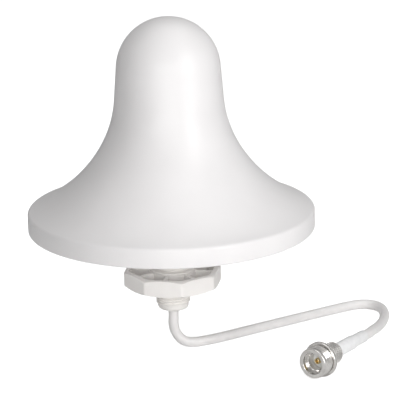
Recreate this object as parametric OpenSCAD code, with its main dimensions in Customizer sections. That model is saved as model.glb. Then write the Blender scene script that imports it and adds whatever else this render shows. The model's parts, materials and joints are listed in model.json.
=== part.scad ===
// Ceiling dome antenna of a cellular signal booster kit.
// Frame: +Z up through the dome's apex, origin at the centre of the base's underside,
// where the threaded stud leaves it. All sizes are in millimetres.

/* [Radome] */
// Outer radius of the dome's rim
rim_r = 75; // [74:0.5:76]
// Height of the upright band round the rim
band_h = 8.6; // [8:0.1:10]
// Rounding of the band's upper edge
crest_r = 2; // [1.5:0.1:2.2]
// Radius of the domed top
cap_r = 27; // [26:0.5:28]
// Height of the domed top's centre
cap_z = 84; // [82:1:88]
// Wall thickness of the radome
wall = 2.2; // [1.8:0.1:2.4]

/* [Base plate] */
// Thickness of the base plate
base_t = 3; // [2.5:0.1:3.5]
// Gap between the base plate and the radome's rim
base_gap = 0.1; // [0.05:0.05:0.3]
// Radius of the circle of radome screws
radome_screw_ring = 66; // [65:0.5:67]
// Radius of the circle of ground plane bosses
boss_ring = 50; // [44:1:52]

/* [Threaded stud] */
// Outside radius of the stud's thread
stud_r = 9; // [8.5:0.1:9.5]
// Length of the stud below the base
stud_len = 45; // [43:0.5:48]
// Plain neck under the base
neck_len = 5; // [3:0.5:6]
// Width of the thread relief under the neck
relief_w = 1.2; // [0.8:0.1:1.6]
// Length of the narrower rounded tip
tip_len = 3.5; // [3:0.5:5]
// Radius of the cable way through the stud
stud_bore_r = 4; // [3.5:0.1:4.5]
// Radius of the stud's flange inside the base
flange_r = 16; // [15:0.5:18]

/* [Mounting nut] */
// Radius to the corners of the octagonal nut
nut_r = 26.2; // [25:0.1:28]
// Height of the nut
nut_h = 8.8; // [8:0.1:10]
// Height of the nut's top face at rest
nut_top = -23; // [-26:0.5:-18]
// Turn of the nut's corners at rest, in degrees
nut_turn = 10; // [0:1:45]
// Thickness of the nut's outer wall
nut_wall = 2.5; // [2:0.1:3]
// Number of ribs in the nut
nut_ribs = 8; // [4:1:12]
// Radial running clearance on the stud
thread_clearance = 0.06; // [0.02:0.01:0.1]

/* [Radiator] */
// Radius of the aluminium ground plane
plane_r = 60; // [54:1:62]
// Height of the ground plane's underside
plane_z = 8.5; // [8:0.1:9]
// Thickness of the ground plane
plane_t = 1.2; // [1:0.1:1.5]
// Radius of the radiator's sleeve
sleeve_r = 20; // [18:0.5:21]
// Height where the cone ends and the sleeve begins
cone_top = 46; // [44:1:48]
// Height of the sleeve's top
sleeve_top = 86; // [80:1:88]
// Thickness of the radiator's sheet metal
sheet = 0.8; // [0.5:0.1:1]

/* [Cable and connector] */
// Radius of the coaxial cable's jacket
cable_r = 2.7; // [2.5:0.1:2.9]
// Radius of the heat-shrink sleeve
shrink_r = 3.7; // [3.2:0.1:4]
// Radius of the knurled clamp collar
collar_r = 5.8; // [5:0.1:6]
// Outside radius of the jack's coupling thread
jack_thread_r = 7.94; // [7.9:0.01:7.98]
// Radius of the jack's flange
jack_flange_r = 9.2; // [8.6:0.1:9.2]
// Radius of the jack's mouth
mouth_r = 5.6; // [5:0.1:5.8]
// Radius of the jack's centre contact
contact_r = 1.6; // [1.4:0.1:1.8]

/* [Hidden] */
$fn = 96;

// The neck widens downwards by this angle, and the domed top ends where it has the same slope
neck_slope = 4.9;
// The flare meets the rounded crest of the rim band at this slope
crest_slope = 20.8;
crest_centre = [rim_r - crest_r, band_h];
crest_in = crest_centre + ray(crest_r, 90 - crest_slope);
// The flare is one curve, pulled straight down from the neck and straight in from the crest
neck_foot = [cap_r + 1.4, 68];
flare_pull_up = [cap_r + 3.9, 38.5];
flare_pull_down = crest_in + ray(18.9, 180 - crest_slope);
flare_steps = 22;
cap_steps = 14;
crest_steps = 5;
rim_foot_r = 0.8;
rim_lip = 0.4;
rim_inside_r = rim_r - wall - rim_lip;
radome_boss_r = 3;

// Fixings: hole the screw cuts its thread in, and hole it passes through
small_hole_r = 1.3;
pass_hole_r = 1.6;
plane_hole_r = 1.7;
pilot_hole_r = 1.5;
countersink_r = 3.1;

base_r = rim_inside_r - base_gap;
base_boss_r = 3.6;
pilot_r = stud_r + 0.5;
relief_r = stud_r - 0.8;
tip_r = stud_r - 0.85;
tip_round = 2;
grommet_len = 9;
thread_top = -(neck_len + relief_w);
thread_end = -(stud_len - tip_len);
flange_t = 2;
flange_z = base_t;
stud_screw_ring = 12.7;
stud_screw_count = 3;
boss_count = 4;
radome_screw_count = 4;
post_count = 3;
post_ring = sleeve_r + 3.2;
post_r = 2.4;
plane_top = plane_z + plane_t;
bush_r = 5;
bush_flange_r = 8.5;
bush_below = 1.5;
bush_top = plane_top + 2.3;
feed_insulator_r = 4.4;
insulator_top = bush_top + 3;
braid_r = 2;
dielectric_r = 1.5;
core_r = 0.45;
jacket_top = 5;
core_top = insulator_top + 3.8;
cone_foot_r = 3;
cone_shoulder = 3;
cone_top_r = sleeve_r - 0.6;
cone_flange_r = 26;
strip_foot_r = 34;
strip_foot_len = 8;
strip_w = 6;
strip_t = 0.5;

washer_t = 1;
hub_r = 12.4;
hub_drop = 0.7;
nut_web = 2.4;
nut_chamfer = 1.3;
rib_w = 1.8;
joint_gap = 0.05;

// The jack's axis: centre of its face, and the way from the face back to the cable
jack_face = [69.85, -51.5, -59.5];
jack_azimuth = atan2(4, 3);
nose_r = 7.9;
nose_chamfer = 0.5;
nose_len = 1.8;
nose_relief = 0.5;
nose_relief_r = 7.2;
thread_len = 4.6;
flange_start = nose_len + nose_relief + thread_len + 0.2;
flange_len = 2.4;
flange_end = flange_start + flange_len;
collar_start = flange_end + 1;
collar_end = collar_start + 10.5;
mouth_len = 3;
inner_mouth_r = 4.4;
socket_depth = 7.4;
insulator_len = 2.6;
contact_tip = 4.2;
contact_bore_r = 0.85;
contact_bore_len = 3;
tail_r = 4.8;
tail_end = collar_start + 2;
tail_bore_r = 3;
core_way_r = 2.2;
shrink_len = 29;
ferrule_end = collar_end + 18;

// Centreline of the free cable, from the stud's end to the heat-shrink sleeve
route = [
    [0, 0, -45], [0, 0, -50], [0, 0, -55], [1.6, 0.2, -60], [5.4, 1, -64.2],
    [11, 3, -66], [17, 5.5, -66], [27, 11, -66], [40, 19.5, -66], [53, 28, -66],
    [66, 36.5, -66], [79.5, 45, -66], [92, 53, -66], [100, 57.5, -66], [106, 59.3, -66],
    [111.5, 58, -66], [115.3, 53.5, -66], [116.8, 45, -66], [115.8, 34.5, -65.9],
    [112.7, 23, -65.2], [109.1, 12.5, -63.7], [105.9, 2.5, -61.6], [102.7, -6.9, -59.9],
    [99.85, -11.5, -59.5]
];
cable_sides = 10;

// ---- functions ----

function unit(v) = v / norm(v);
function ray(r, a) = [r * cos(a), r * sin(a)];

// A point on the flare, a cubic curve tangent to the neck and to the rim's crest
function flare(t) = pow(1 - t, 3) * neck_foot + 3 * pow(1 - t, 2) * t * flare_pull_up
    + 3 * (1 - t) * t * t * flare_pull_down + t * t * t * crest_in;

// The bell's outline from the apex down to the crest of the rim band
function bell(steps) = concat(
    [for (i = [0:cap_steps]) [0, cap_z] + ray(cap_r, 90 - (90 - neck_slope) * i / cap_steps)],
    [for (i = [0:steps]) flare(i / steps)]
);

// The same outline moved inwards, without its point on the axis
function inward(line, i) =
    let (a = line[max(i - 1, 0)], b = line[min(i + 1, len(line) - 1)], d = unit(b - a))
    [d.y, -d.x];
function moved_in(line, by) = [
    for (i = [1:len(line) - 1]) line[i] + by * inward(line, i)
];

// Directions along a route, and normals carried along it without twist
function heading(p, i) = unit(p[min(i + 1, len(p) - 1)] - p[max(i - 1, 0)]);
function carried(p, i) = i == 0 ? [1, 0, 0]
    : let (n = carried(p, i - 1), d = heading(p, i)) unit(n - (n * d) * d);
function ring_points(p, r, sides) = [
    for (i = [0:len(p) - 1])
        let (d = heading(p, i), n = carried(p, i), b = cross(d, n))
        for (k = [0:sides - 1]) p[i] + r * (n * cos(360 * k / sides) + b * sin(360 * k / sides))
];

// ---- helpers ----

module tube(r, bore, z0, z1) {
    translate([0, 0, z0])
        difference() {
            cylinder(r = r, h = z1 - z0);
            translate([0, 0, -1]) cylinder(r = bore, h = z1 - z0 + 2);
        }
}

module ring_of(count, r, start = 0) {
    for (i = [0:count - 1])
        rotate([0, 0, start + 360 * i / count]) translate([r, 0, 0]) children();
}

// Pan head screw with its head's underside at z = 0 and its shank pointing down
module pan_screw(shank_r, shank_len, head_r, head_h) {
    translate([0, 0, -shank_len]) cylinder(r = shank_r, h = shank_len, $fn = 24);
    difference() {
        rotate_extrude($fn = 32)
            polygon([[0, 0], [head_r, 0], [head_r, head_h * 0.5], [head_r * 0.75, head_h], [0, head_h]]);
        translate([0, 0, head_h])
            for (a = [0, 90]) rotate([0, 0, a]) cube([head_r * 1.1, 0.5, head_h], center = true);
    }
}

// Moves a piece drawn along +Z onto the jack's axis, with z = 0 at the jack's face
module on_jack_axis() {
    translate(jack_face) rotate([0, 90, jack_azimuth]) children();
}

// ---- antenna body ----

module radome_shell() {
    line = bell(flare_steps);
    inside = moved_in(line, wall);
    last = len(inside) - 1;
    outline = concat(
        line,
        [for (i = [1:crest_steps]) crest_centre + ray(crest_r, (90 - crest_slope) * (1 - i / crest_steps))],
        [[rim_r, rim_foot_r], [rim_r - rim_foot_r, 0], [rim_inside_r, 0], [rim_inside_r, inside[last].y]],
        [for (i = [last:-1:0]) inside[i]],
        [[0, cap_z + cap_r - wall]]
    );
    rotate_extrude($fn = 180) polygon(outline);
}

// Bosses for the radome's screws, grown up into the middle of the wall
module radome_bosses() {
    middle = moved_in(bell(flare_steps), wall / 2);
    boss_foot = base_t + 0.1;
    hole_len = 5.5;
    intersection() {
        ring_of(radome_screw_count, radome_screw_ring, 45)
            translate([0, 0, boss_foot])
                difference() {
                    cylinder(r = radome_boss_r, h = cap_z, $fn = 32);
                    translate([0, 0, -1]) cylinder(r = small_hole_r, h = hole_len + 1, $fn = 24);
                }
        rotate_extrude($fn = 180)
            polygon(concat(middle, [[rim_inside_r, boss_foot], [0, boss_foot], [0, cap_z]]));
    }
}

module radome() {
    color("white") {
        radome_shell();
        radome_bosses();
    }
}

module base_plate() {
    color("white")
        difference() {
            union() {
                cylinder(r = base_r, h = base_t, $fn = 180);
                ring_of(boss_count, boss_ring) cylinder(r = base_boss_r, h = plane_z, $fn = 32);
            }
            translate([0, 0, -1]) cylinder(r = pilot_r + 0.1, h = base_t + 2);
            ring_of(boss_count, boss_ring)
                translate([0, 0, plane_z - 6]) cylinder(r = pilot_hole_r, h = 7, $fn = 24);
            ring_of(stud_screw_count, stud_screw_ring, 30)
                translate([0, 0, 0.8]) cylinder(r = small_hole_r, h = base_t, $fn = 24);
            ring_of(radome_screw_count, radome_screw_ring, 45) {
                translate([0, 0, -1]) cylinder(r = pass_hole_r, h = base_t + 2, $fn = 24);
                translate([0, 0, -0.01]) cylinder(r1 = countersink_r, r2 = pass_hole_r, h = 1.6, $fn = 32);
            }
        }
}

module radome_screws() {
    color("silver")
        ring_of(radome_screw_count, radome_screw_ring, 45)
            difference() {
                union() {
                    translate([0, 0, 0.1]) cylinder(r1 = 2.9, r2 = 1.25, h = 1.6, $fn = 32);
                    cylinder(r = 1.25, h = 8.4, $fn = 24);
                }
                for (a = [0, 90]) rotate([0, 0, a]) cube([3, 0.6, 1.4], center = true);
            }
}

module threaded_stud() {
    color("white")
        difference() {
            rotate_extrude()
                polygon(concat(
                    [[0, flange_z + flange_t], [flange_r, flange_z + flange_t], [flange_r, flange_z],
                     [pilot_r, flange_z], [pilot_r, 0], [stud_r, 0], [stud_r, -neck_len],
                     [relief_r, -neck_len - 0.2], [relief_r, thread_top + 0.2],
                     [stud_r, thread_top], [stud_r, thread_end], [tip_r, thread_end - 0.8]],
                    [for (a = [0:-15:-90]) [tip_r - tip_round, tip_round - stud_len] + ray(tip_round, a)],
                    [[0, -stud_len]]
                ));
            translate([0, 0, -stud_len - 1]) cylinder(r = stud_bore_r, h = stud_len + base_t + 5);
            ring_of(stud_screw_count, stud_screw_ring, 30)
                translate([0, 0, base_t - 1]) cylinder(r = pass_hole_r, h = flange_t + 2, $fn = 24);
        }
}

module stud_screws() {
    color("silver")
        ring_of(stud_screw_count, stud_screw_ring, 30)
            translate([0, 0, flange_z + flange_t]) pan_screw(1.25, 4, 2.5, 1.6);
}

module cable_grommet() {
    color("whitesmoke") tube(stud_bore_r, cable_r, -stud_len, grommet_len - stud_len);
}

// ---- radiator inside the dome ----

module ground_plane() {
    color("silver")
        difference() {
            tube(plane_r, bush_r, plane_z, plane_top);
            ring_of(boss_count, boss_ring)
                translate([0, 0, plane_z - 1]) cylinder(r = plane_hole_r, h = plane_t + 2, $fn = 24);
            ring_of(post_count, post_ring, 60)
                translate([0, 0, plane_z - 1]) cylinder(r = pass_hole_r, h = plane_t + 2, $fn = 24);
        }
}

module ground_plane_screws() {
    color("silver")
        ring_of(boss_count, boss_ring) translate([0, 0, plane_top]) pan_screw(1.45, 6, 2.9, 1.8);
}

module feed_bush() {
    color("goldenrod")
        difference() {
            union() {
                translate([0, 0, plane_z - bush_below])
                    cylinder(r = bush_r, h = bush_top - plane_z + bush_below);
                translate([0, 0, plane_top]) cylinder(r = bush_flange_r, h = 1.3);
            }
            translate([0, 0, plane_z - 3]) cylinder(r = braid_r, h = 8, $fn = 48);
        }
}

module feed_insulator() {
    color("white") tube(feed_insulator_r, dielectric_r, bush_top, insulator_top);
}

module radiator_cone() {
    foot_z = insulator_top;
    shoulder_z = foot_z + cone_shoulder;
    color("peru")
        difference() {
            rotate_extrude()
                polygon([
                    [0, foot_z], [cone_foot_r, foot_z], [cone_top_r, cone_top],
                    [cone_flange_r, cone_top], [cone_flange_r, cone_top + sheet],
                    [cone_top_r - sheet, cone_top + sheet], [cone_foot_r - sheet, shoulder_z],
                    [0, shoulder_z]
                ]);
            translate([0, 0, foot_z - 1]) cylinder(r = core_r, h = 6, $fn = 24);
            ring_of(post_count, post_ring, 60)
                translate([0, 0, cone_top - 1]) cylinder(r = pass_hole_r, h = 3, $fn = 24);
        }
}

module radiator_sleeve() {
    color("peru") tube(sleeve_r, sleeve_r - sheet, cone_top + sheet, sleeve_top);
}

module radiator_cap() {
    color("peru") translate([0, 0, sleeve_top]) cylinder(r = sleeve_r, h = sheet);
}

module radiator_posts() {
    color("ivory")
        ring_of(post_count, post_ring, 60)
            difference() {
                translate([0, 0, plane_top]) cylinder(r = post_r, h = cone_top - plane_top, $fn = 32);
                translate([0, 0, plane_top - 1]) cylinder(r = pilot_hole_r, h = 9, $fn = 24);
                translate([0, 0, cone_top - 8]) cylinder(r = pilot_hole_r, h = 9, $fn = 24);
            }
}

module post_screws() {
    color("silver")
        ring_of(post_count, post_ring, 60) {
            translate([0, 0, cone_top + sheet]) pan_screw(1.45, 7, 2.7, 1.6);
            translate([0, 0, plane_z]) mirror([0, 0, 1]) pan_screw(1.45, 7, 2.7, 1.4);
        }
}

module shorting_strips() {
    color("silver")
        for (side = [0, 180])
            rotate([90, 0, side]) translate([0, 0, -strip_w / 2]) linear_extrude(strip_w)
                polygon([
                    [strip_foot_r + strip_foot_len, plane_top],
                    [strip_foot_r + strip_foot_len, plane_top + strip_t],
                    [strip_foot_r + strip_t, plane_top + strip_t],
                    [cone_flange_r + strip_t, cone_top + sheet], [cone_flange_r, cone_top + sheet],
                    [cone_flange_r, cone_top], [strip_foot_r - 0.1, plane_top]
                ]);
}

// ---- coaxial cable inside the stud ----

module coax_jacket() {
    color("white") translate([0, 0, -stud_len]) cylinder(r = cable_r, h = stud_len + jacket_top, $fn = 48);
}

module coax_braid() {
    color("silver") tube(braid_r, dielectric_r, jacket_top, bush_top - 0.5);
}

module coax_dielectric() {
    color("ivory") tube(dielectric_r, core_r, jacket_top, insulator_top - 0.4);
}

module coax_core() {
    color("peru") translate([0, 0, jacket_top]) cylinder(r = core_r, h = core_top - jacket_top, $fn = 24);
}

module feed_solder() {
    z = insulator_top + cone_shoulder;
    color("silver")
        difference() {
            translate([0, 0, z]) cylinder(r1 = 1.9, r2 = 0.8, h = 1.4, $fn = 32);
            translate([0, 0, z - 3]) cylinder(r = core_r, h = 3.8, $fn = 24);
        }
}

// ---- nut on the stud ----

module slip_washer() {
    z = nut_top - hub_drop + joint_gap;
    color("whitesmoke") tube(hub_r - 0.3, stud_r + 0.1, z, z + washer_t);
}

module nut_prism(r, z0, z1) {
    translate([0, 0, z0]) rotate([0, 0, nut_turn - 90]) cylinder(r = r, h = z1 - z0, $fn = 8);
}

module mounting_nut() {
    bottom = nut_top - nut_h;
    flat_r = nut_r * cos(22.5) - 0.2;
    color("white")
        difference() {
            intersection() {
                nut_prism(nut_r, bottom, nut_top);
                rotate_extrude()
                    polygon([
                        [0, bottom], [flat_r, bottom], [nut_r + 0.4, bottom + nut_chamfer],
                        [nut_r + 0.4, nut_top - nut_chamfer], [flat_r, nut_top], [0, nut_top]
                    ]);
            }
            difference() {
                nut_prism(nut_r - nut_wall / cos(22.5), bottom + nut_web, nut_top + 1);
                translate([0, 0, bottom]) cylinder(r = hub_r, h = nut_h - hub_drop);
                for (i = [0:nut_ribs - 1])
                    rotate([0, 0, nut_turn + 22.5 + 360 * i / nut_ribs])
                        translate([stud_r + 1, -rib_w / 2, bottom])
                            cube([nut_r - stud_r, rib_w, nut_h - hub_drop]);
            }
            translate([0, 0, bottom - 1]) cylinder(r = stud_r + thread_clearance, h = nut_h + 2);
        }
}

// ---- free cable and connector ----

module cable() {
    n = len(route);
    s = cable_sides;
    walls = [
        for (i = [0:n - 2]) for (k = [0:s - 1])
            [i * s + k, (i + 1) * s + k, (i + 1) * s + (k + 1) % s, i * s + (k + 1) % s]
    ];
    ends = [[for (k = [0:s - 1]) k], [for (k = [s - 1:-1:0]) (n - 1) * s + k]];
    color("white") polyhedron(points = ring_points(route, cable_r, s), faces = concat(walls, ends));
}

module heat_shrink() {
    color("white")
        on_jack_axis()
            difference() {
                translate([0, 0, collar_end]) cylinder(r = shrink_r, h = shrink_len);
                translate([0, 0, collar_end - 1])
                    cylinder(r = tail_bore_r, h = ferrule_end - collar_end + 1);
            }
}

module crimp_ferrule() {
    color("silver") on_jack_axis() tube(tail_bore_r, core_way_r, tail_end, ferrule_end);
}

module clamp_collar() {
    color("silver")
        on_jack_axis()
            difference() {
                rotate_extrude()
                    polygon([
                        [0, collar_start], [collar_r - 0.4, collar_start], [collar_r, collar_start + 0.4],
                        [collar_r, collar_end - 0.8], [collar_r - 0.8, collar_end], [0, collar_end]
                    ]);
                translate([0, 0, collar_start - 1])
                    cylinder(r = tail_bore_r, h = collar_end - collar_start + 2);
            }
}

module jack_body() {
    thread_z = nose_len + nose_relief;
    color("silver")
        on_jack_axis()
            difference() {
                rotate_extrude()
                    polygon([
                        [0, 0], [nose_r - nose_chamfer, 0], [nose_r, nose_chamfer], [nose_r, nose_len],
                        [nose_relief_r, nose_len], [nose_relief_r, thread_z],
                        [jack_thread_r, thread_z], [jack_thread_r, thread_z + thread_len],
                        [nose_relief_r, thread_z + thread_len], [nose_relief_r, flange_start],
                        [jack_flange_r - 0.6, flange_start], [jack_flange_r, flange_start + 0.6],
                        [jack_flange_r, flange_end - 0.8], [jack_flange_r - 0.8, flange_end],
                        [tail_r, flange_end], [tail_r, collar_start], [tail_bore_r, collar_start],
                        [tail_bore_r, tail_end], [0, tail_end]
                    ]);
                translate([0, 0, -1]) cylinder(r = mouth_r, h = mouth_len + 1);
                cylinder(r = inner_mouth_r, h = socket_depth + insulator_len);
                cylinder(r = core_way_r, h = tail_end + 1);
            }
}

module jack_insulator() {
    color("ivory")
        on_jack_axis() tube(inner_mouth_r, contact_r, socket_depth, socket_depth + insulator_len);
}

module jack_contact() {
    color("gold")
        on_jack_axis()
            difference() {
                translate([0, 0, contact_tip])
                    cylinder(r = contact_r, h = collar_start - 0.2 - contact_tip, $fn = 48);
                translate([0, 0, contact_tip - 1])
                    cylinder(r = contact_bore_r, h = contact_bore_len + 1, $fn = 24);
            }
}

radome();
base_plate();
radome_screws();
threaded_stud();
stud_screws();
cable_grommet();
ground_plane();
ground_plane_screws();
feed_bush();
feed_insulator();
radiator_cone();
radiator_sleeve();
radiator_cap();
radiator_posts();
post_screws();
shorting_strips();
coax_jacket();
coax_braid();
coax_dielectric();
coax_core();
feed_solder();
slip_washer();
mounting_nut();
cable();
heat_shrink();
crimp_ferrule();
clamp_collar();
jack_body();
jack_insulator();
jack_contact();
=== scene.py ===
"""Ceiling dome antenna of a signal booster kit: the looks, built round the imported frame."""
import json
import math

import bmesh
import bpy
from mathutils import Matrix, Vector


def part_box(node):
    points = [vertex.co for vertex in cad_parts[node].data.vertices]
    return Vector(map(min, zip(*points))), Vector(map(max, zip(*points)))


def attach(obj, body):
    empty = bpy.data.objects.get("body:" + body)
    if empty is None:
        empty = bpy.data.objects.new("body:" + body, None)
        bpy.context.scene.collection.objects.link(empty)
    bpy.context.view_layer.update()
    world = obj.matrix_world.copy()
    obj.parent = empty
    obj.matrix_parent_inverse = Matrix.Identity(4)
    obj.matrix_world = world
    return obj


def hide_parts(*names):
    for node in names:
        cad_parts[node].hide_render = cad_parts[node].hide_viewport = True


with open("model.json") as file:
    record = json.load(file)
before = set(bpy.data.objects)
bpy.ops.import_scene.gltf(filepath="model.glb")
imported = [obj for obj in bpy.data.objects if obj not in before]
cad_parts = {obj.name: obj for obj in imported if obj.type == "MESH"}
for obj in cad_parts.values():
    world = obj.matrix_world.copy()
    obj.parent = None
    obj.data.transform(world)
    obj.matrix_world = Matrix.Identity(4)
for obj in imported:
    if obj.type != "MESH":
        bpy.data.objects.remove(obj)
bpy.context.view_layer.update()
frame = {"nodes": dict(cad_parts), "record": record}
scene = bpy.context.scene

# ---------------------------------------------------------------- sizes, in metres, taken from the frame

MM = 0.001
mounts = {mount["name"]: mount for mount in frame["record"]["mounts"]}
rim_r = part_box("radome")[1].x
apex_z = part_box("radome")[1].z
stud_end_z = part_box("threaded_stud")[0].z
stud_r = mounts["stud_neck"]["dims"]["r_mm"] * MM
neck_len = mounts["stud_neck"]["dims"]["length_mm"] * MM
nut_low, nut_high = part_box("mounting_nut")
jack_out = Vector(mounts["jack_mouth"]["axis"])
jack_face = Vector(mounts["jack_mouth"]["pos_m"]) + jack_out * 1.5 * MM
floor_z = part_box("jack_body")[0].z
cable_r = 2.7 * MM

# Centreline of the free cable in millimetres: the design's, but for a slightly softer landing on the floor
ROUTE_MM = [
    (0, 0, -45), (0, 0, -50), (0, 0, -55), (1.6, 0.2, -60), (5.4, 1, -64.2), (11, 3, -65.8),
    (17, 5.5, -66), (27, 11, -66), (40, 19.5, -66), (53, 28, -66), (66, 36.5, -66), (79.5, 45, -66),
    (92, 53, -66), (100, 57.5, -66), (106, 59.3, -66), (111.5, 58, -66), (115.3, 53.5, -66),
    (116.8, 45, -66), (115.8, 34.5, -65.9), (112.7, 23, -65.2), (109.1, 12.5, -63.7),
    (105.9, 2.5, -61.6), (102.7, -6.9, -59.9), (99.85, -11.5, -59.5),
]
# Turn of the nut's corners, in degrees
NUT_TURN = 10
# Places of the four screws that hold the radome: their angles and the radius of their circle
SCREW_ANGLES = (45, 135, 225, 315)
SCREW_RING = 66 * MM
# Radius of the circle of the four bosses that carry the ground plane
BOSS_RING = 50 * MM
# Ends of the clamp collar, measured back from the jack's face
COLLAR_START, COLLAR_END = 10.5 * MM, 21 * MM
# Bore of the collar and of the sleeve round the crimp ferrule
FERRULE_BORE = 3.02 * MM


# ---------------------------------------------------------------- helpers

def linear(hex_colour):
    """An sRGB hex colour as linear red, green, blue and alpha."""
    parts = [int(hex_colour[i:i + 2], 16) / 255 for i in (1, 3, 5)]
    return tuple(c / 12.92 if c <= 0.04045 else ((c + 0.055) / 1.055) ** 2.4 for c in parts) + (1.0,)


def add(tree, kind, inputs=None, **settings):
    """Adds a node. An input is a value, or (node, output) for a link."""
    made = tree.nodes.new(kind)
    for key, value in settings.items():
        setattr(made, key, value)
    for key, value in (inputs or {}).items():
        if isinstance(value, tuple) and isinstance(value[0], bpy.types.Node):
            tree.links.new(value[0].outputs[value[1]], made.inputs[key])
        else:
            made.inputs[key].default_value = value
    return made


def piece(name, bm, material, body, replaced=(), smooth_angle=35):
    """Makes a finished mesh object that rides on a CAD body."""
    mesh = bpy.data.meshes.new(name)
    bm.to_mesh(mesh)
    bm.free()
    made = bpy.data.objects.new(name, mesh)
    scene.collection.objects.link(made)
    mesh.materials.append(material)
    mesh.shade_smooth()
    mesh.set_sharp_from_angle(angle=math.radians(smooth_angle))
    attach(made, body)
    if replaced:
        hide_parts(*replaced)
    return made


def turned(points, steps=128, closed=True):
    """A turned solid about Z from an outline of (radius, height) points in metres."""
    bm = bmesh.new()
    line = [bm.verts.new((r, 0, z)) for r, z in points]
    edges = [bm.edges.new(pair) for pair in zip(line, line[1:])]
    apart = (line[0].co - line[-1].co).length > 1e-7
    off_axis = max(points[0][0], points[-1][0]) > 1e-7
    if closed and apart and off_axis:
        edges.append(bm.edges.new((line[-1], line[0])))
    bmesh.ops.spin(bm, geom=line + edges, cent=(0, 0, 0), axis=(0, 0, 1), angle=math.tau,
                   steps=steps, use_merge=True)
    bmesh.ops.remove_doubles(bm, verts=bm.verts, dist=1e-7)
    bmesh.ops.dissolve_degenerate(bm, edges=bm.edges, dist=1e-8)
    bmesh.ops.recalc_face_normals(bm, faces=bm.faces)
    return bm


def arc(centre, radius, start, end, steps):
    """Points of an arc in the (radius, height) plane, angles in degrees from the outward direction."""
    angles = [math.radians(start + (end - start) * i / steps) for i in range(steps + 1)]
    return [(centre[0] + radius * math.cos(a), centre[1] + radius * math.sin(a)) for a in angles]


def screw_thread(core_r, crest_r, pitch, low, high, steps=96):
    """A closed right-hand threaded rod about Z, cut square at both ends."""
    section = [(0.0, core_r), (0.10, core_r), (0.42, crest_r), (0.62, crest_r), (0.94, core_r)]
    turns = round((high - low) / pitch) + 2
    bm = bmesh.new()
    line = [bm.verts.new((r, 0, low - pitch + (turn + share) * pitch))
            for turn in range(turns) for share, r in section]
    edges = [bm.edges.new(pair) for pair in zip(line, line[1:])]
    bmesh.ops.spin(bm, geom=line + edges, cent=(0, 0, 0), axis=(0, 0, 1), dvec=(0, 0, pitch / steps),
                   angle=math.tau, steps=steps, use_merge=False)
    bmesh.ops.remove_doubles(bm, verts=bm.verts, dist=pitch * 1e-3)
    for height, side in ((low, -1), (high, 1)):
        bmesh.ops.bisect_plane(bm, geom=bm.verts[:] + bm.edges[:] + bm.faces[:], dist=1e-9,
                               plane_co=(0, 0, height), plane_no=(0, 0, side), clear_outer=True)
    open_edges = [edge for edge in bm.edges if edge.is_boundary]
    bmesh.ops.edgenet_fill(bm, edges=open_edges)
    bmesh.ops.recalc_face_normals(bm, faces=bm.faces)
    return bm


def fused(first, others, operation="UNION"):
    """Joins or cuts closed bmesh solids exactly, and gives the result as one bmesh."""
    objects = []
    for bm in [first] + others:
        mesh = bpy.data.meshes.new("tool")
        bm.to_mesh(mesh)
        bm.free()
        made = bpy.data.objects.new("tool", mesh)
        scene.collection.objects.link(made)
        objects.append(made)
    for other in objects[1:]:
        step = objects[0].modifiers.new("join", "BOOLEAN")
        step.operation = operation
        step.solver = "EXACT"
        step.object = other
    depsgraph = bpy.context.evaluated_depsgraph_get()
    result = bmesh.new()
    result.from_mesh(objects[0].evaluated_get(depsgraph).to_mesh())
    for made in objects:
        mesh = made.data
        bpy.data.objects.remove(made)
        bpy.data.meshes.remove(mesh)
    bmesh.ops.remove_doubles(result, verts=result.verts, dist=1e-7)
    return result


def swivel(bm, degrees):
    """Turns a solid about Z."""
    turn = Matrix.Rotation(math.radians(degrees), 3, "Z")
    bmesh.ops.rotate(bm, verts=bm.verts, cent=(0, 0, 0), matrix=turn)
    return bm


def to_ring(bm, radius, degrees):
    """Moves a piece made on the axis to a place on a circle."""
    bmesh.ops.translate(bm, verts=bm.verts, vec=(radius, 0, 0))
    return swivel(bm, degrees)


def block(length, width, height, centre):
    """A box of a given size round a centre."""
    bm = bmesh.new()
    bmesh.ops.create_cube(bm, size=1)
    bmesh.ops.scale(bm, verts=bm.verts, vec=(length, width, height))
    bmesh.ops.translate(bm, verts=bm.verts, vec=centre)
    return bm


def on_jack_axis(bm):
    """Moves a solid made along +Z, with z = 0 at the jack's face, onto the jack's axis."""
    turn = Vector((0, 0, 1)).rotation_difference(-jack_out).to_matrix().to_4x4()
    bm.transform(Matrix.Translation(jack_face) @ turn)
    return bm


# ---------------------------------------------------------------- materials

# Places of the colour sockets on a Mix node set to colours
MIX_A, MIX_B, MIX_RESULT = 6, 7, 2


def surface(name, colour, roughness, **inputs):
    """A Principled material with its constants on the shader itself. Gives (material, tree, shader)."""
    material = bpy.data.materials.new(name)
    material.use_nodes = True
    tree = material.node_tree
    tree.nodes.clear()
    shader = add(tree, "ShaderNodeBsdfPrincipled", {"Base Color": linear(colour), "Roughness": roughness})
    for key, value in inputs.items():
        shader.inputs[key.replace("_", " ")].default_value = value
    add(tree, "ShaderNodeOutputMaterial", {"Surface": (shader, "BSDF")})
    return material, tree, shader


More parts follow.
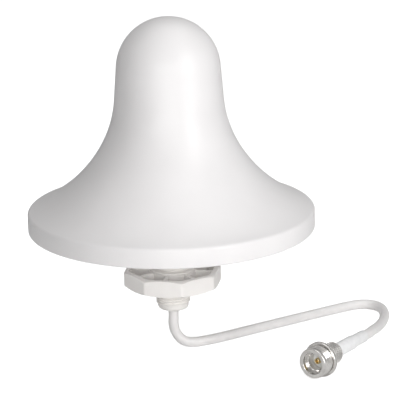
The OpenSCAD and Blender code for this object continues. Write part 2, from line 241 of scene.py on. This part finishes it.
def finish(name, tones, gloss, cloud, grain, depth, stretch=(1, 1, 1), **inputs):
    """A finish in real sizes: cloudy tones, and a finer grain in both its gloss and its relief.

    tones are the darker and the lighter colour, gloss the lowest and highest roughness, cloud and grain
    the sizes of the two patterns in metres, and depth the height of the relief in metres.
    """
    material, tree, shader = surface(name, tones[1], gloss[0], **inputs)
    place = add(tree, "ShaderNodeTexCoord")
    along = add(tree, "ShaderNodeMapping", {"Vector": (place, "Object"), "Scale": stretch})
    clouds = add(tree, "ShaderNodeTexNoise", {"Vector": (along, "Vector"), "Scale": 1 / cloud,
                                              "Detail": 2.0})
    spread = add(tree, "ShaderNodeMapRange", {"Value": (clouds, "Fac"), "From Min": 0.3, "From Max": 0.7})
    tint = add(tree, "ShaderNodeMix", {"Factor": (spread, "Result"), MIX_A: linear(tones[0]),
                                       MIX_B: linear(tones[1])}, data_type="RGBA")
    grit = add(tree, "ShaderNodeTexNoise", {"Vector": (along, "Vector"), "Scale": 1 / grain, "Detail": 3.0})
    sheen = add(tree, "ShaderNodeMapRange", {"Value": (grit, "Fac"), "From Min": 0.3, "From Max": 0.7,
                                             "To Min": gloss[0], "To Max": gloss[1]})
    bump = add(tree, "ShaderNodeBump", {"Height": (grit, "Fac"), "Distance": depth})
    tree.links.new(tint.outputs[MIX_RESULT], shader.inputs["Base Color"])
    tree.links.new(sheen.outputs["Result"], shader.inputs["Roughness"])
    tree.links.new(bump.outputs["Normal"], shader.inputs["Normal"])
    return material


def copper_braid():
    """Tinned copper braid: strands laid across the cable, crowns painted brighter as highlight, gaps painted
    darker as shade.
    """
    material, tree, shader = surface("tinned_copper", "#C9C2B6", 0.32, Metallic=1.0)
    place = add(tree, "ShaderNodeTexCoord")
    strands = add(tree, "ShaderNodeTexWave", {"Vector": (place, "Object"), "Scale": 420.0,
                                              "Distortion": 1.5}, bands_direction="DIAGONAL")
    # The strand pattern also sets the colour: painted highlight on the crowns, painted shade in the gaps
    # between strands.
    tint = add(tree, "ShaderNodeMix", {"Factor": (strands, "Fac"), MIX_A: linear("#A89C8C"),
                                       MIX_B: linear("#D6D0C6")}, data_type="RGBA")
    bump = add(tree, "ShaderNodeBump", {"Height": (strands, "Fac"), "Distance": 0.00008})
    tree.links.new(tint.outputs[MIX_RESULT], shader.inputs["Base Color"])
    tree.links.new(bump.outputs["Normal"], shader.inputs["Normal"])
    return material


# Injection-moulded ABS: clean warm white, satin, with spark-eroded mould grain that softens the highlights
abs_white = finish("white_abs", ("#ECEAEA", "#F2F0F0"), (0.34, 0.42), 0.045, 0.0008, 0.000012, IOR=1.53)
# The nut's ABS: a slightly coarser grain, so its facets read duller than the dome
abs_nut = finish("white_abs_nut", ("#F3F0ED", "#F8F5F2"), (0.42, 0.52), 0.02, 0.0006, 0.00002, IOR=1.53)
# Nylon: a little creamier, with a soft sheen along the thread's flanks
nylon = finish("white_nylon", ("#F2EFEB", "#F7F4F0"), (0.4, 0.5), 0.01, 0.0005, 0.00001, IOR=1.53)
# Soft rubber: greyer and dull, so the bush parts from the nylon round it
soft_white = finish("grommet_rubber", ("#DFDFDC", "#E6E6E3"), (0.6, 0.7), 0.004, 0.0004, 0.00002, IOR=1.52)
# PVC jacket: smooth and a little glossy, with a slight waviness from the conductor's braid under it
pvc = finish("cable_pvc", ("#EDEBEA", "#F2F0EF"), (0.3, 0.38), 0.006, 0.004, 0.00006, IOR=1.53)
# Polyolefin sleeve: brighter and duller than the cable, with fine wrinkles from shrinking
polyolefin = finish("heat_shrink_white", ("#ECECED", "#F4F4F4"), (0.42, 0.52), 0.003, 0.0022, 0.00007,
                    IOR=1.5)
# Bright nickel: sharp reflections broken by faint clouding and fine pits from handling
nickel = finish("nickel_plate", ("#CFCCC9", "#E6E4E1"), (0.1, 0.2), 0.004, 0.0004, 0.000004, Metallic=1.0)
# Thin gold over bronze: pale yellow, softer than the nickel
gold = finish("gold_plate", ("#DCC48E", "#EEDDB2"), (0.15, 0.27), 0.002, 0.0003, 0.000003, Metallic=1.0)
# Zinc-plated steel: bluish grey with blurred reflections
zinc = finish("zinc_steel", ("#A9AEB2", "#C6CACD"), (0.24, 0.4), 0.002, 0.0004, 0.000006, Metallic=1.0)
# Spun and tinned brass sheet: fine rings left by the spinning tool, so the grain is squeezed along Z
tin = finish("tinned_brass", ("#B9B4A8", "#D3CFC4"), (0.26, 0.42), 0.02, 0.003, 0.000008, (1, 1, 9),
             Metallic=1.0)
# Mill-finish aluminium sheet: rolling lines along Y
aluminium = finish("aluminium_sheet", ("#C3C6C9", "#DBDDDF"), (0.3, 0.44), 0.02, 0.004, 0.000008, (12, 1, 1),
                   Metallic=1.0)
# Turned brass: warm yellow, tool marks round the axis
brass = finish("brass", ("#B8954E", "#D9BC78"), (0.22, 0.36), 0.006, 0.003, 0.000006, (1, 1, 14),
               Metallic=1.0)
# PTFE turned from rod: chalky white with a waxy sheen
ptfe = finish("ptfe", ("#F0F0EE", "#F7F7F5"), (0.34, 0.46), 0.003, 0.0008, 0.00001, IOR=1.38)
# Solder: bright, with a cooled and slightly puckered skin
solder = finish("solder", ("#A7A8A8", "#D0D1D1"), (0.18, 0.32), 0.002, 0.0009, 0.00003, Metallic=1.0)

SLOT_MATERIALS = {
    "white_abs": abs_white, "white_abs_nut": abs_nut, "white_nylon": nylon, "zinc_steel": zinc,
    "grommet_rubber": soft_white, "aluminium_sheet": aluminium, "brass": brass, "ptfe": ptfe,
    "tinned_brass": tin, "tinned_copper": copper_braid(), "cable_pvc": pvc, "heat_shrink_white": polyolefin,
    "nickel_plate": nickel, "gold_plate": gold, "solder": solder,
}


# ---------------------------------------------------------------- camera, floor and light

def look_from(position, target, roll):
    """A camera pose that looks from one point to another, rolled about its view in degrees."""
    ahead = (target - position).normalized()
    right = ahead.cross(Vector((0, 0, 1))).normalized()
    up = right.cross(ahead)
    lean = math.radians(roll)
    right, up = right * math.cos(lean) + up * math.sin(lean), up * math.cos(lean) - right * math.sin(lean)
    pose = Matrix((right, up, -ahead)).transposed().to_4x4()
    pose.translation = position
    return pose


def set_camera():
    """A long lens, about 15 degrees above the horizon, aimed between the dome and the jack."""
    distance = 1.040
    elevation = math.radians(14.9)
    middle = Vector((0, 0, 0.0312))
    position = middle + distance * Vector((0, -math.cos(elevation), math.sin(elevation)))
    aim = middle + Vector((0.0150, 0, 0)) + 0.0168 * Vector((0, -math.sin(elevation), -math.cos(elevation)))
    data = bpy.data.cameras.new("camera")
    data.sensor_width = 36
    data.lens = 180
    data.clip_start = 0.01
    data.clip_end = 20
    camera = bpy.data.objects.new("camera", data)
    scene.collection.objects.link(camera)
    camera.matrix_world = look_from(position, aim, -1.0)
    scene.camera = camera


def set_floor():
    """A wide pale floor under the cable and the jack, brighter to the camera than it is as a light."""
    material, tree, shader = surface("floor_paint", "#FFFFFF", 0.9)
    shader.inputs["Specular IOR Level"].default_value = 0.1
    shader.inputs["Emission Color"].default_value = (1, 1, 1, 1)
    path = add(tree, "ShaderNodeLightPath")
    seen_glow = 0.75
    glow = add(tree, "ShaderNodeMapRange", {"Value": (path, "Is Camera Ray"), "To Min": 0.0,
                                            "To Max": seen_glow})
    tree.links.new(glow.outputs["Result"], shader.inputs["Emission Strength"])
    bm = bmesh.new()
    bmesh.ops.create_grid(bm, x_segments=1, y_segments=1, size=8)
    bm.transform(Matrix.Translation((0, 0, floor_z - 0.0001)))
    mesh = bpy.data.meshes.new("floor")
    bm.to_mesh(mesh)
    bm.free()
    floor = bpy.data.objects.new("floor", mesh)
    mesh.materials.append(material)
    scene.collection.objects.link(floor)


def soft_light(name, position, target, size, power, colour="#FFFFFF"):
    """A rectangular softbox aimed at a point."""
    data = bpy.data.lights.new(name, "AREA")
    data.shape = "RECTANGLE"
    data.size, data.size_y = size
    data.energy = power
    data.color = linear(colour)[:3]
    lamp = bpy.data.objects.new(name, data)
    scene.collection.objects.link(lamp)
    lamp.matrix_world = look_from(Vector(position), Vector(target), 0)


def set_light():
    """Plain studio light: a key from the right, broad soft light from the front and the top, a low card.

    The surround is white to the eye, half as bright in reflections, and weak as light.
    """
    as_light, as_reflection, as_seen = 0.11, 0.5, 1.0
    middle = (0, 0, 0.03)
    soft_light("key", (0.84, -0.87, 0.45), middle, (0.45, 0.9), 6.7)
    soft_light("front", (-0.2, -1.4, 0.28), middle, (1.2, 0.5), 6.6)
    soft_light("top", (0.1, 0.0, 1.3), middle, (1.6, 1.4), 7.9)
    soft_light("low_card", (0.25, -0.5, -0.05), (0, 0, -0.03), (0.5, 0.08), 0.2)
    world = bpy.data.worlds.new("surround")
    world.use_nodes = True
    tree = world.node_tree
    tree.nodes.clear()
    path = add(tree, "ShaderNodeLightPath")
    mirrored = add(tree, "ShaderNodeMapRange", {"Value": (path, "Is Glossy Ray"), "To Min": as_light,
                                                "To Max": as_reflection})
    strength = add(tree, "ShaderNodeMapRange", {"Value": (path, "Is Camera Ray"),
                                                "To Min": (mirrored, "Result"), "To Max": as_seen})
    light = add(tree, "ShaderNodeBackground", {"Color": (1, 1, 1, 1), "Strength": (strength, "Result")})
    add(tree, "ShaderNodeOutputWorld", {"Surface": (light, "Background")})
    scene.world = world
    scene.view_settings.view_transform = "Standard"
    scene.view_settings.look = "None"


# ---------------------------------------------------------------- cable

def make_cable():
    """The pigtail's free length: round, smooth, straight out of the stud and along the floor."""
    curve = bpy.data.curves.new("pigtail_cable", "CURVE")
    curve.dimensions = "3D"
    curve.bevel_depth = cable_r
    curve.bevel_resolution = 7
    curve.resolution_u = 10
    curve.use_fill_caps = True
    spline = curve.splines.new("BEZIER")
    spline.bezier_points.add(len(ROUTE_MM) - 1)
    for point, place in zip(spline.bezier_points, ROUTE_MM):
        point.co = Vector(place) * MM
        point.handle_left_type = "AUTO"
        point.handle_right_type = "AUTO"
    made = bpy.data.objects.new("pigtail_cable", curve)
    scene.collection.objects.link(made)
    curve.materials.append(pvc)
    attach(made, "antenna")
    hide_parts("cable")
    return made


# ---------------------------------------------------------------- dome and base

def bell_outline():
    """The bell from its apex to the crest of the rim: a domed top, a slim neck and one long flare."""
    cap_r = 27 * MM
    cap_centre = (0, apex_z - cap_r)
    slope = 4.9
    curve = [Vector(p) * MM for p in ((28.4, 68), (30.9, 38.5), (56.04, 17.18), (73.71, 10.47))]
    flare = []
    for i in range(1, 65):
        t = i / 64
        weights = ((1 - t) ** 3, 3 * (1 - t) ** 2 * t, 3 * (1 - t) * t * t, t ** 3)
        flare.append(tuple(sum((w * p for w, p in zip(weights, curve)), Vector((0, 0)))))
    return arc(cap_centre, cap_r, 90, slope, 40) + [tuple(curve[0])] + flare


def make_radome():
    """The moulded bell: outside as seen, inside a wall's thickness behind it, rounded at the rim."""
    wall = 2.2 * MM
    crest_r = 2 * MM
    foot_r = 0.9 * MM
    outside = bell_outline()
    outside += arc((rim_r - crest_r, 8.6 * MM), crest_r, 69.2, 0, 8)[1:]
    outside += arc((rim_r - foot_r, foot_r), foot_r, 0, -90, 6)
    bell = bell_outline()
    inside = []
    for i in range(1, len(bell) - 1, 2):
        along = Vector(bell[i + 1]) - Vector(bell[i - 1])
        across = Vector((along.y, -along.x)).normalized()
        inside.append(tuple(Vector(bell[i]) + wall * across))
    lip_r = rim_r - wall - 0.4 * MM
    outline = outside + [(lip_r, 0), (lip_r, inside[-1][1])] + inside[::-1] + [(0, apex_z - wall)]
    return piece("bell_radome", turned(outline, 192, closed=False), abs_white, "antenna",
                 ["radome"], 30)


def make_base_plate():
    """The base's flat underside, with a small moulded radius, a stud hole and four countersunk holes."""
    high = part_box("base_plate")[1]
    plate_r = high.x
    plate_t = 3 * MM
    edge = 0.4 * MM
    hole_r = stud_r + 0.6 * MM
    boss_r = 3.6 * MM
    boss_low, boss_high = plate_t - edge, high.z
    sink_r, clear_r = 3.1 * MM, 1.6 * MM
    outline = [(hole_r, plate_t), (hole_r, edge), (hole_r + edge, 0)]
    outline += arc((plate_r - edge, edge), edge, -90, 0, 4) + [(plate_r, plate_t)]
    plate = turned(outline, 192)
    bosses = []
    for angle in (0, 90, 180, 270):
        boss = turned([(0, boss_low), (boss_r, boss_low), (boss_r, boss_high), (0, boss_high)], 32)
        bosses.append(to_ring(boss, BOSS_RING, angle))
    plate = fused(plate, bosses)
    sinks = []
    for angle in SCREW_ANGLES:
        sink = turned([(0, -edge), (sink_r + edge, -edge), (clear_r, clear_r), (clear_r, plate_t + edge),
                       (0, plate_t + edge)], 48)
        sinks.append(to_ring(sink, SCREW_RING, angle))
    plate = fused(plate, sinks, "DIFFERENCE")
    return piece("base_plate_moulding", plate, abs_white, "antenna", ["base_plate"])


def make_radome_screws():
    """Four countersunk self-tapping screws with cross recesses, heads flush with the underside."""
    whole = bmesh.new()
    outline = [(0, 0.1), (2.75, 0.1), (2.9, 0.2), (1.25, 1.8), (1.25, 8.2), (0.6, 8.4), (0, 8.4)]
    recess = (3 * MM, 0.6 * MM, 1.6 * MM, (0, 0, 0))
    for angle in SCREW_ANGLES:
        screw = turned([(r * MM, z * MM) for r, z in outline], 48)
        slots = [swivel(block(*recess), quarter) for quarter in (0, 90)]
        screw = to_ring(fused(screw, slots, "DIFFERENCE"), SCREW_RING, angle)
        mesh = bpy.data.meshes.new("screw")
        screw.to_mesh(mesh)
        whole.from_mesh(mesh)
        bpy.data.meshes.remove(mesh)
        screw.free()
    return piece("underside_screws", whole, zinc, "antenna", ["radome_screws"], 30)


def make_stud():
    """The hollow stud: plain neck, relief, fine right-hand thread, and a narrower rounded tip."""
    pitch = 1.5 * MM
    flange_low, flange_high = 3 * MM, 5 * MM
    relief_r = stud_r - 0.8 * MM
    thread_low, thread_high = -41.4 * MM, -neck_len - 1.1 * MM
    tip_r = stud_r - 0.85 * MM
    round_r = 2 * MM
    bore_r = 4 * MM
    core_r = stud_r - 0.62 * MM
    outline = [(bore_r, flange_high), (16 * MM, flange_high), (16 * MM, flange_low),
               (stud_r + 0.5 * MM, flange_low), (stud_r + 0.5 * MM, 0), (stud_r, 0),
               (stud_r, -neck_len), (relief_r, -neck_len - 0.3 * MM), (relief_r, thread_high - 0.1 * MM),
               (core_r - 0.1 * MM, thread_high - 0.1 * MM), (core_r - 0.1 * MM, thread_low + 0.2 * MM),
               (tip_r + 0.2 * MM, thread_low - 0.1 * MM), (tip_r, thread_low - 0.5 * MM)]
    outline += arc((tip_r - round_r, stud_end_z + round_r), round_r, 0, -90, 10)
    outline += arc((bore_r + 0.5 * MM, stud_end_z + 0.5 * MM), 0.5 * MM, -90, -180, 4)
    body = turned(outline, 128)
    thread = screw_thread(core_r, stud_r - 0.01 * MM, pitch, thread_low, thread_high, 128)
    bore = turned([(0, thread_low - pitch), (bore_r + 0.4 * MM, thread_low - pitch),
                   (bore_r + 0.4 * MM, thread_high + pitch), (0, thread_high + pitch)], 96)
    thread = fused(thread, [bore], "DIFFERENCE")
    whole = fused(body, [thread])
    return piece("threaded_hollow_stud", whole, nylon, "antenna", ["threaded_stud"], 28)


def make_grommet():
    """The bush in the stud's end, dished round the cable."""
    bore = cable_r + 0.02 * MM
    outer = 3.98 * MM
    low = stud_end_z + 0.2 * MM
    lip = 0.35 * MM
    outline = [(bore, low + 9 * MM), (bore, low + 0.6 * MM)]
    outline += arc((bore + lip, low + 0.4 * MM), lip, 180, 270, 4)
    outline += [(outer - lip, low), (outer, low + 0.3 * MM), (outer, low + 8.7 * MM)]
    return piece("cable_bush", turned(outline, 96), soft_white, "antenna", ["cable_grommet"])


# ---------------------------------------------------------------- nut

def octagon(radius, low, high):
    """An eight-sided prism with its corners where the nut's are."""
    bm = bmesh.new()
    bmesh.ops.create_cone(bm, cap_ends=True, segments=8, radius1=radius, radius2=radius, depth=high - low)
    first = next(iter(bm.verts)).co
    corner = math.degrees(math.atan2(first.y, first.x))
    swivel(bm, NUT_TURN - 90 - corner)
    bmesh.ops.translate(bm, verts=bm.verts, vec=(0, 0, (low + high) / 2))
    bmesh.ops.recalc_face_normals(bm, faces=bm.faces)
    return bm


def bevel_upright(bm, width, segments):
    """Rounds the upright edges of a prism."""
    upright = [e for e in bm.edges if abs(e.verts[0].co.z - e.verts[1].co.z) > 1 * MM]
    bmesh.ops.bevel(bm, geom=upright, offset=width, segments=segments, profile=0.5, affect="EDGES",
                    material=-1)


def make_nut():
    """The octagonal hand nut: chamfered corners, a ribbed hollow on top and a closed web below."""
    low, high = nut_low.z, nut_high.z
    corner_r = 26.2 * MM
    flat_r = corner_r * math.cos(math.radians(22.5))
    wall = 2.5 * MM
    web = 2.4 * MM
    hub_r = 12.4 * MM
    hub_high = high - 0.7 * MM
    chamfer = 1.3 * MM
    body = octagon(corner_r, low, high)
    bevel_upright(body, 0.9 * MM, 3)
    lathe = turned([(0, low), (flat_r - 0.2 * MM, low), (corner_r + 0.4 * MM, low + chamfer),
                    (corner_r + 0.4 * MM, high - chamfer), (flat_r - 0.2 * MM, high), (0, high)], 192)
    body = fused(body, [lathe], "INTERSECT")
    hollow = octagon(corner_r - wall / math.cos(math.radians(22.5)), low + web, high + 1 * MM)
    bevel_upright(hollow, 1.2 * MM, 3)
    hub = turned([(0, low), (hub_r, low), (hub_r, hub_high), (0, hub_high)], 128)
    rib_t = 1.8 * MM
    rib_length = corner_r - stud_r
    rib_centre = (stud_r + 1 * MM + rib_length / 2, 0, (low + hub_high) / 2)
    ribs = [swivel(block(rib_length, rib_t, hub_high - low, rib_centre), NUT_TURN + 22.5 + 45 * i)
            for i in range(8)]
    hollow = fused(hollow, [hub] + ribs, "DIFFERENCE")
    bore_r = stud_r + 0.06 * MM
    lead = 0.6 * MM
    bore = turned([(0, low - lead), (bore_r + 2 * lead, low - lead), (bore_r, low + lead),
                   (bore_r, hub_high - lead), (bore_r + 2 * lead, hub_high + lead),
                   (0, hub_high + lead)], 128)
    body = fused(body, [hollow, bore], "DIFFERENCE")
    return piece("octagonal_hand_nut", body, abs_nut, "nut", ["mounting_nut"], 30)


def make_washer():
    """The thin slip washer on the nut's hub."""
    low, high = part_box("slip_washer")
    outer, bore = high.x, stud_r + 0.1 * MM
    edge = 0.15 * MM
    outline = [(bore, low.z), (bore, high.z), (outer - edge, high.z), (outer, high.z - edge),
               (outer, low.z + edge), (outer - edge, low.z)]
    return piece("thin_slip_washer", turned(outline, 128), nylon, "washer", ["slip_washer"])


# ---------------------------------------------------------------- connector on the cable

def make_heat_shrink():
    """The sleeve over the crimp: full over the ferrule, then drawn in to a thin edge on the cable."""
    start = COLLAR_END + 0.02 * MM
    end = start + 28.9 * MM
    bore = cable_r + 0.02 * MM
    ferrule_end = start + 18.2 * MM
    over_ferrule, over_cable = 3.7 * MM, 3.25 * MM
    step_low, step_high = start + 16.5 * MM, start + 21 * MM
    outline = [(bore, end), (over_cable - 0.15 * MM, end), (over_cable, end - 0.3 * MM)]
    for i in range(9):
        share = i / 8
        ease = share * share * (3 - 2 * share)
        outline.append((over_cable + (over_ferrule - over_cable) * ease,
                        step_high + (step_low - step_high) * share))
    outline += [(over_ferrule, start + 0.3 * MM), (over_ferrule - 0.2 * MM, start), (FERRULE_BORE, start),
                (FERRULE_BORE, ferrule_end), (bore, ferrule_end)]
    return piece("heat_shrink_sleeve", on_jack_axis(turned(outline, 72)), polyolefin, "antenna",
                 ["heat_shrink"])


def make_collar():
    """The clamp collar, with a diamond knurl cut between two plain lands."""
    start, end = COLLAR_START, COLLAR_END
    outer = 5.8 * MM
    teeth, depth = 30, 0.26 * MM
    knurl_low, knurl_high = start + 0.7 * MM, end - 1.1 * MM
    rows = 40
    land_r = outer - 0.1 * MM
    outline = [(FERRULE_BORE, start), (outer - 0.5 * MM, start), (land_r, start + 0.4 * MM),
               (land_r, knurl_low - 0.15 * MM)]
    outline += [(outer, knurl_low + (knurl_high - knurl_low) * i / rows) for i in range(rows + 1)]
    outline += [(land_r, knurl_high + 0.15 * MM), (land_r, end - 0.8 * MM),
                (outer - 0.7 * MM, end), (FERRULE_BORE, end)]
    collar = turned(outline, teeth * 8)
    lead = math.tau / teeth / (2.2 * MM)
    for vert in collar.verts:
        if knurl_low - 1e-6 < vert.co.z < knurl_high + 1e-6 and vert.co.xy.length > outer - 0.05 * MM:
            angle = math.atan2(vert.co.y, vert.co.x) * teeth
            climb = (vert.co.z - knurl_low) * lead * teeth
            cut = max(groove(angle + climb), groove(angle - climb))
            vert.co.xy *= 1 - depth * cut / outer
    return piece("knurled_clamp_collar", on_jack_axis(collar), nickel, "antenna", ["clamp_collar"],
                 24)


def groove(phase):
    """Depth share of a V groove at a phase in radians."""
    return max(0.0, math.cos(phase)) ** 1.5


def make_jack():
    """The jack's turned body: nose ring, coupling thread, knurled flange and tail, with its open mouth."""
    pitch = 25.4 / 24 * MM
    thread_r = mounts["jack_thread"]["dims"]["r_mm"] * MM
    nose_r = 7.9 * MM
    relief_r = 7.1 * MM
    flange_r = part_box("jack_body")[1].z - jack_face.z
    mouth_r = mounts["jack_mouth"]["dims"]["r_mm"] * MM
    inner_r = 4.4 * MM
    tail_r = 4.8 * MM
    thread_low, thread_high = 2.32 * MM, 6.88 * MM
    core_r = thread_r - 0.6 * MM
    flange_low, flange_high = 7.1 * MM, 9.5 * MM
    knurl_low, knurl_high = 8 * MM, 8.9 * MM
    insulator_end, tail_end = 10 * MM, 12.5 * MM
    core_way_r, socket_r, thread_bore_r = 2.22 * MM, 3 * MM, 6.2 * MM
    lip = 0.35 * MM
    outline = [(core_way_r, tail_end), (core_way_r, insulator_end), (inner_r, insulator_end),
               (inner_r, 3.4 * MM), (inner_r + 0.4 * MM, 3 * MM), (mouth_r, 3 * MM), (mouth_r, lip)]
    outline += arc((mouth_r + lip, lip), lip, 180, 270, 5)
    outline += arc((nose_r - 0.5 * MM, 0.5 * MM), 0.5 * MM, -90, 0, 6)
    outline += [(nose_r, 1.7 * MM), (nose_r - 0.1 * MM, 1.8 * MM), (relief_r, 1.8 * MM),
                (relief_r, thread_high + 0.05 * MM), (relief_r, flange_low)]
    outline += arc((flange_r - 0.5 * MM, flange_low + 0.5 * MM), 0.5 * MM, -90, 0, 5)
    outline += [(flange_r, knurl_low - 0.1 * MM)]
    outline += [(flange_r, knurl_low + (knurl_high - knurl_low) * i / 4) for i in range(5)]
    outline += arc((flange_r - 0.4 * MM, flange_high - 0.4 * MM), 0.4 * MM, 0, 90, 4)
    outline += [(tail_r + 0.3 * MM, flange_high), (tail_r, flange_high + 0.3 * MM), (tail_r, COLLAR_START),
                (socket_r, COLLAR_START), (socket_r, tail_end)]
    body = turned(outline, 288)
    for vert in body.verts:
        if knurl_low - 1e-6 < vert.co.z < knurl_high + 1e-6 and vert.co.xy.length > flange_r - 0.01 * MM:
            vert.co.xy *= 1 - 0.2 * MM * groove(math.atan2(vert.co.y, vert.co.x) * 72) / flange_r
    thread = screw_thread(core_r, thread_r - 0.01 * MM, pitch, thread_low, thread_high, 96)
    bore = turned([(0, thread_low - pitch), (thread_bore_r, thread_low - pitch),
                   (thread_bore_r, thread_high + pitch), (0, thread_high + pitch)], 96)
    thread = fused(thread, [bore], "DIFFERENCE")
    whole = fused(body, [thread])
    return piece("coaxial_jack_body", on_jack_axis(whole), nickel, "antenna", ["jack_body"],
                 24)


def make_insulator():
    """The white dielectric at the bottom of the mouth, with a raised ring round the contact."""
    points = [(1.62, 9.98), (1.62, 7), (2.3, 7), (2.45, 7.1),
              (2.45, 7.7), (4.1, 7.7), (4.38, 7.9), (4.38, 9.98)]
    ring = turned([(r * MM, z * MM) for r, z in points], 96)
    return piece("jack_dielectric", on_jack_axis(ring), ptfe, "antenna", ["jack_insulator"])


def make_contact():
    """The gold centre contact: a socket with a rounded lip and four spring slots."""
    tip, end = 4.2 * MM, 10.28 * MM
    outer, bore = 1.6 * MM, 0.85 * MM
    depth = 3 * MM
    outline = [(0, tip + depth), (bore, tip + depth), (bore, tip + 0.35 * MM), (bore + 0.3 * MM, tip)]
    outline += arc((outer - 0.35 * MM, tip + 0.35 * MM), 0.35 * MM, -90, 0, 4)
    outline += [(outer, end), (0, end)]
    pin = turned(outline, 64)
    slot = (4 * MM, 0.22 * MM, 3 * MM, (0, 0, tip + 1 * MM))
    slots = [swivel(block(*slot), quarter) for quarter in (45, 135)]
    pin = fused(pin, slots, "DIFFERENCE")
    return piece("centre_contact", on_jack_axis(pin), gold, "antenna", ["jack_contact"], 30)


# ---------------------------------------------------------------- the whole antenna

def main():
    set_camera()
    cable = make_cable()
    set_floor()
    set_light()
    make_radome()
    make_base_plate()
    make_radome_screws()
    make_stud()
    make_grommet()
    make_washer()
    make_nut()
    on_cable = [make_heat_shrink(), make_collar(), make_jack(), make_insulator(), make_contact()]
    for entry in frame["record"]["subparts"]:
        node = frame["nodes"][entry["node"]]
        node.data.materials.clear()
        node.data.materials.append(SLOT_MATERIALS[entry["material_slot"]])
    on_cable.append(frame["nodes"]["crimp_ferrule"])


main()
